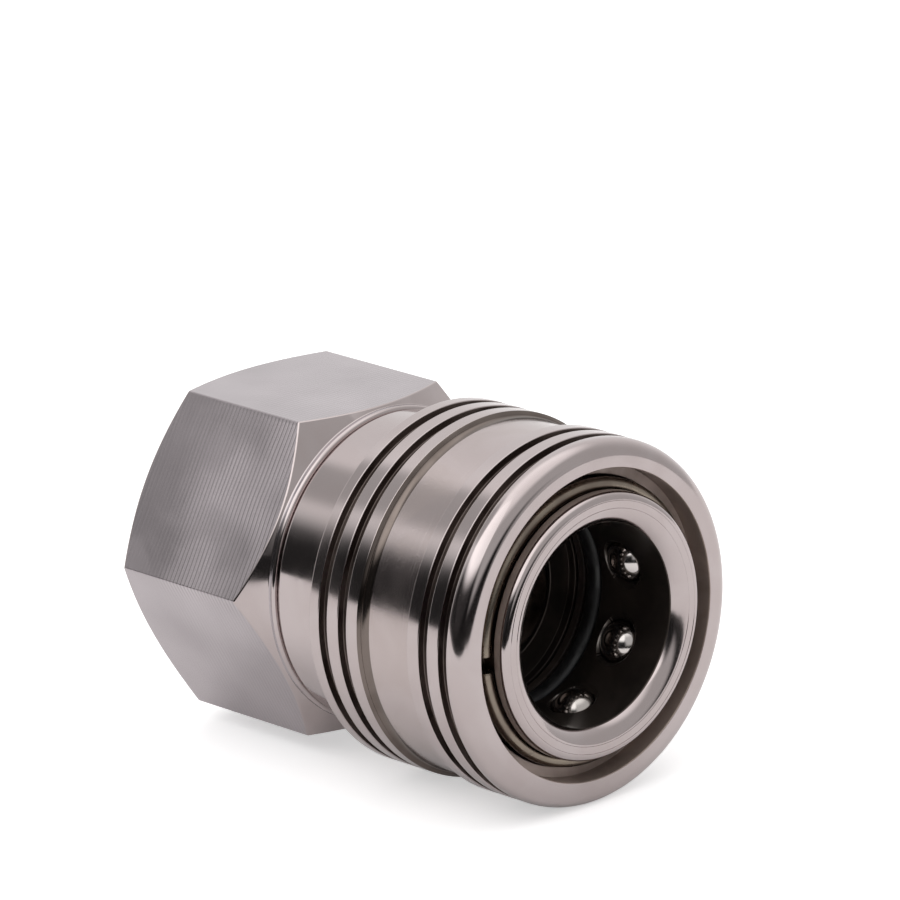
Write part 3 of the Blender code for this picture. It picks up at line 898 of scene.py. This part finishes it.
def coil(name, node, wire, turns):
    """A compression spring with a closed turn at each end, in place of its CAD node, riding whole
    on the body."""
    front, rear = high(node).x - wire / 2, low(node).x + wire / 2
    radius = high(node).z - wire / 2
    closed_pitch = wire + seat_gap
    free_turns = turns - 2.0
    free_pitch = (front - rear - 2 * closed_pitch) / free_turns
    shape = bmesh.new()
    bmesh.ops.create_circle(shape, radius=wire / 2, segments=spring_section_steps)
    stand = Matrix.Rotation(math.pi / 2, 4, "X")
    bmesh.ops.transform(shape, matrix=Matrix.Translation((front, 0.0, radius)) @ stand,
                        verts=shape.verts)
    last = shape.verts[:] + shape.edges[:]
    for turn_share, pitch in ((1.0, closed_pitch), (free_turns, free_pitch), (1.0, closed_pitch)):
        last = bmesh.ops.spin(shape, geom=last, cent=(0.0, 0.0, 0.0), axis=(-1.0, 0.0, 0.0),
                              angle=2 * math.pi * turn_share,
                              steps=round(coil_steps * turn_share),
                              dvec=(-pitch / coil_steps, 0.0, 0.0), use_merge=False)["geom_last"]
    bmesh.ops.holes_fill(shape, edges=[edge for edge in shape.edges if edge.is_boundary], sides=0)
    bmesh.ops.recalc_face_normals(shape, faces=shape.faces)
    item = as_object(name, shape, spring_wire)
    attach(item, "body")
    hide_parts(node)
    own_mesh(item)


def make_backup_ring():
    """The flat washer behind the plug's seal."""
    front, rear = mouth_x - high("backup_ring").x, mouth_x - low("backup_ring").x
    outer, inner = high("backup_ring").z, bore_radius + edge_break
    corners = [(front, outer, fine_break), (rear, outer, fine_break),
               (rear, inner, fine_break), (front, inner, fine_break)]
    # Its near-black brown is painted shade, deep in the bore.
    item = turned_piece("backup_washer", corners, backup_painted_shade)
    dress(item, "body", "backup_plastic", "backup_ring")


def make_poppet():
    """The valve poppet: nose, sealing head and stem."""
    seal_rear = mouth_x - low("poppet_seal").x
    head_front = seal_rear + seat_gap
    head_rear = head_front + poppet_head_length
    corners = [
        (poppet_tip, 0.0, 0.0),
        (poppet_tip, poppet_nose_radius - poppet_nose_taper, small_break),
        (poppet_tip + poppet_nose_taper, poppet_nose_radius, small_break),
        (head_front, poppet_nose_radius, fine_break),
        (head_front, poppet_head_radius, edge_break),
        (head_rear, poppet_head_radius, edge_break),
        (head_rear, stem_radius, small_break),
        (stem_end, stem_radius, edge_break),
        (stem_end, 0.0, 0.0),
    ]
    # The poppet's front, deep in the bore, keeps the dark brown of painted shade.
    item = turned_piece("valve_poppet", corners, brown_painted_shade, inner_steel)
    paint(item, 1, lambda depth, radius, normal: depth > head_rear - small_break)
    keep_flats_flat(item)
    dress(item, "poppet", "turned_steel", "poppet")


def make_guide():
    """The guide that carries the poppet's stem: rim, boss and three spokes."""
    rim_radius = high("poppet_guide").z
    hole = stem_radius + slide_gap
    boss = hole + boss_wall
    front = guide_rear - guide_thickness
    corners = [
        (boss_front, hole, small_break),
        (boss_front, boss, small_break),
        (front, boss, fine_break),
        (front, rim_radius, small_break),
        (guide_rear, rim_radius, small_break),
        (guide_rear, hole, small_break),
    ]
    item = turned_piece("valve_guide", corners, inner_steel)
    cut(item, window_tool(boss + seat_gap, rim_radius - guide_rim_width, front))
    keep_flats_flat(item)
    dress(item, "body", "turned_steel", "poppet_guide")


def window_tool(inner, outer, front):
    """Three flow windows between the guide's spokes."""
    half = math.pi / 3 - math.asin(spoke_width / (inner + outer))
    tool = bmesh.new()
    for index in range(3):
        corners = ((front - overrun, inner), (front - overrun, outer),
                   (guide_rear + overrun, outer), (guide_rear + overrun, inner))
        points = [tool.verts.new((mouth_x - depth, 0.0, radius)) for depth, radius in corners]
        edges = [tool.edges.new(pair) for pair in zip(points, points[1:] + points[:1])]
        turned = Matrix.Rotation(2 * math.pi * index / 3 - half, 4, "X")
        bmesh.ops.transform(tool, matrix=turned, verts=points)
        bmesh.ops.spin(tool, geom=points + edges, cent=(0.0, 0.0, 0.0), axis=(1.0, 0.0, 0.0),
                       angle=2 * half, steps=window_steps, use_merge=False)
    bmesh.ops.holes_fill(tool, edges=[edge for edge in tool.edges if edge.is_boundary], sides=0)
    bmesh.ops.recalc_face_normals(tool, faces=tool.faces)
    return tool


make_body()
make_sleeve()
make_adapter()
make_balls()
make_ring()
make_backup_ring()
make_poppet()
make_guide()
seal_ring("plug_o_ring", "plug_seal", black_rubber, "body", "seal_rubber")
seal_ring("tail_o_ring", "body_seal", black_rubber, "body", "seal_rubber")
seal_ring("valve_o_ring", "poppet_seal", black_rubber, "poppet", "seal_rubber")
coil("release_spring", "sleeve_spring", sleeve_spring_wire, sleeve_spring_turns)
coil("valve_spring", "poppet_spring", valve_spring_wire, valve_spring_turns)


# Floor: its size, the azimuth and reach of its edges, its tone and how much it shines by itself
floor_half = 3.0
floor_drop = 0.02 * MM
floor_edges = ((math.radians(-58.0), 118.0 * MM), (0.0, 124.0 * MM))
floor_tone = (0.82, 0.81, 0.81, 1.0)
floor_lift = 0.50
mirrored_lift = 0.14

# Studio light by direction: each span goes from one value to another, and between two levels
wall_span = (-0.5, 0.6, 1.02, 0.62)
ceiling_span = (0.66, 0.92, 0.0, 0.65)
softbox_lean = 0.8
softbox_span = (0.955, 1.02, 0.0, 1.0)
side_span = (0.40, 0.68, 0.0, 1.0)
side_low_span = (0.345, 0.60, 0.975, 0.0)
front_aim = (0.94, -0.342, 0.0)
front_span = (0.55, 0.78, 0.0, 0.97)
front_low_span = (0.02, 0.22, 1.0, 0.0)
patch_aim = (-0.678, -0.274, 0.682)
patch_span = (0.965, 0.992, 0.0, 0.45)


def place_camera():
    """The photograph's viewing angle: a long lens, a little above the coupling."""
    azimuth = math.radians(-44.785)
    elevation = math.radians(18.438)
    roll = math.radians(-0.942)
    turn_left = math.radians(1.056)
    tilt_up = math.radians(1.259)
    distance = 795.4 * MM
    back = Vector((math.cos(elevation) * math.cos(azimuth),
                   math.cos(elevation) * math.sin(azimuth), math.sin(elevation)))
    right = Vector((0.0, 0.0, 1.0)).cross(back).normalized()
    up = back.cross(right)
    rolled = Matrix.Rotation(roll, 3, back)
    right, up = rolled @ right, rolled @ up
    aim = Matrix.Rotation(turn_left, 3, up) @ Matrix.Rotation(tilt_up, 3, right)
    axes = Matrix((aim @ right, aim @ up, aim @ back)).transposed()
    data = bpy.data.cameras.new("camera")
    data.lens = 320.0
    data.sensor_width = 36.0
    data.clip_start = 0.05
    data.clip_end = 20.0
    camera = bpy.data.objects.new("camera", data)
    camera.matrix_world = axes.to_4x4()
    camera.location = Vector((high("sleeve").x, 0.0, 0.0)) + back * distance
    bpy.context.scene.collection.objects.link(camera)
    bpy.context.scene.camera = camera


def make_floor():
    """A pale floor with the coupling's shadow, white to the camera. It ends on the near side and
    ahead of the mouth, and the steel shows the dark side of the studio past its edges."""
    material = bpy.data.materials.new("pale floor")
    material.use_nodes = True
    tree = material.node_tree
    shader = tree.nodes["Principled BSDF"]
    shader.inputs["Base Color"].default_value = floor_tone
    shader.inputs["Roughness"].default_value = 0.9
    shader.inputs["Specular IOR Level"].default_value = 0.0
    shader.inputs["Emission Color"].default_value = (1.0, 1.0, 1.0, 1.0)
    path = tree.nodes.new("ShaderNodeLightPath").outputs
    mirrored = math_node(tree, "ADD", path["Is Glossy Ray"], path["Is Transmission Ray"],
                         clamp=True)
    lift = math_node(tree, "ADD", math_node(tree, "MULTIPLY", path["Is Camera Ray"], floor_lift),
                     math_node(tree, "MULTIPLY", mirrored, mirrored_lift))
    tree.links.new(lift, shader.inputs["Emission Strength"])
    shape = bmesh.new()
    bmesh.ops.create_grid(shape, x_segments=1, y_segments=1, size=floor_half)
    floor_height = -sleeve_radius - floor_drop
    bmesh.ops.translate(shape, verts=shape.verts, vec=(0.0, 0.0, floor_height))
    for azimuth, reach in floor_edges:
        outward = Vector((math.cos(azimuth), math.sin(azimuth), 0.0))
        bmesh.ops.bisect_plane(shape, geom=shape.verts[:] + shape.edges[:] + shape.faces[:],
                               plane_co=outward * reach, plane_no=outward, clear_outer=True)
    floor = as_object("floor", shape, material)


def make_world():
    """A studio that is white to the camera. In the steel its walls dim towards the mouth, its
    ceiling and a soft light above the near side are brighter, and it is dark low on the near side
    and low ahead of the mouth. One patch behind is dimmer."""
    world = bpy.data.worlds.new("studio")
    bpy.context.scene.world = world
    world.use_nodes = True
    tree = world.node_tree
    background = tree.nodes["Background"]
    direction = tree.nodes.new("ShaderNodeTexCoord").outputs["Generated"]
    along, across, up = parts_of(tree, direction)
    near = math_node(tree, "MULTIPLY", across, -1.0)
    walls = span(tree, along, *wall_span)
    ceiling = span(tree, up, *ceiling_span)
    reach = math_node(tree, "ADD", near, math_node(tree, "MULTIPLY", up, softbox_lean))
    softbox = span(tree, reach, *softbox_span)
    level = math_node(tree, "ADD", math_node(tree, "MAXIMUM", ceiling, softbox), walls)
    low_side = math_node(tree, "MULTIPLY", span(tree, near, *side_span),
                         span(tree, up, *side_low_span))
    ahead = towards(tree, direction, front_aim)
    low_front = math_node(tree, "MULTIPLY", span(tree, ahead, *front_span),
                          span(tree, up, *front_low_span))
    dark = math_node(tree, "MAXIMUM", low_side, low_front)
    patch = span(tree, towards(tree, direction, patch_aim), *patch_span)
    open_share = math_node(tree, "MULTIPLY", math_node(tree, "SUBTRACT", 1.0, dark),
                           math_node(tree, "SUBTRACT", 1.0, patch))
    room = math_node(tree, "MULTIPLY", level, open_share)
    seen = tree.nodes.new("ShaderNodeLightPath").outputs["Is Camera Ray"]
    shown = tree.nodes.new("ShaderNodeMix")
    tree.links.new(seen, shown.inputs["Factor"])
    tree.links.new(room, shown.inputs["A"])
    shown.inputs["B"].default_value = 1.0
    tree.links.new(shown.outputs["Result"], background.inputs["Strength"])
    background.inputs["Color"].default_value = (1.0, 1.0, 1.0, 1.0)


place_camera()
make_floor()
make_world()
bpy.context.scene.view_settings.view_transform = "Standard"
